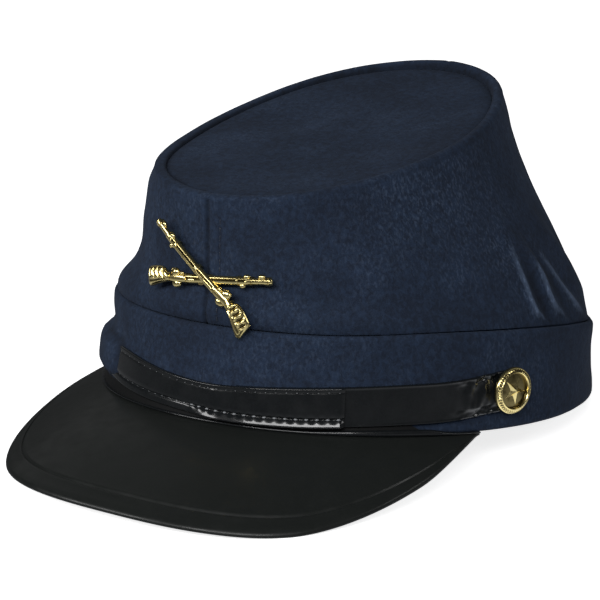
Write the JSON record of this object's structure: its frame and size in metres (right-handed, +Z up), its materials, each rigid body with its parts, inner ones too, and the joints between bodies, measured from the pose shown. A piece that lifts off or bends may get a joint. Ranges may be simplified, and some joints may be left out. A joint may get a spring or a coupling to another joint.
{
  "type": "kepi cap",
  "caption": "Soft wool kepi with a slanting crown, doubled band, glossy black peak and chin straps, brass star buttons and a crossed-rifles badge.",
  "frame": {"origin": "centre of the bounding box at the surface that the cap rests on", "axes": "+Z up with the cap resting by itself on its peak and the rear of its band, -Y the front with the peak, +X the wearer's left"},
  "size_m": [0.1904, 0.2516, 0.125],
  "materials": {
    "navy_wool": "felted melton wool, matt with a soft nap",
    "black_patent": "gloss patent leather cloth",
    "brass": "polished cast brass"
  },
  "bodies": {
    "root": {"band": "navy_wool", "crown_panel_left": "navy_wool", "crown_panel_right": "navy_wool", "crown_top": "navy_wool", "peak": "black_patent", "chin_strap_long": "black_patent", "chin_strap_short": "black_patent", "button_left": "brass", "button_right": "brass", "crossed_rifles": "brass"}
  },
  "joints": []
}
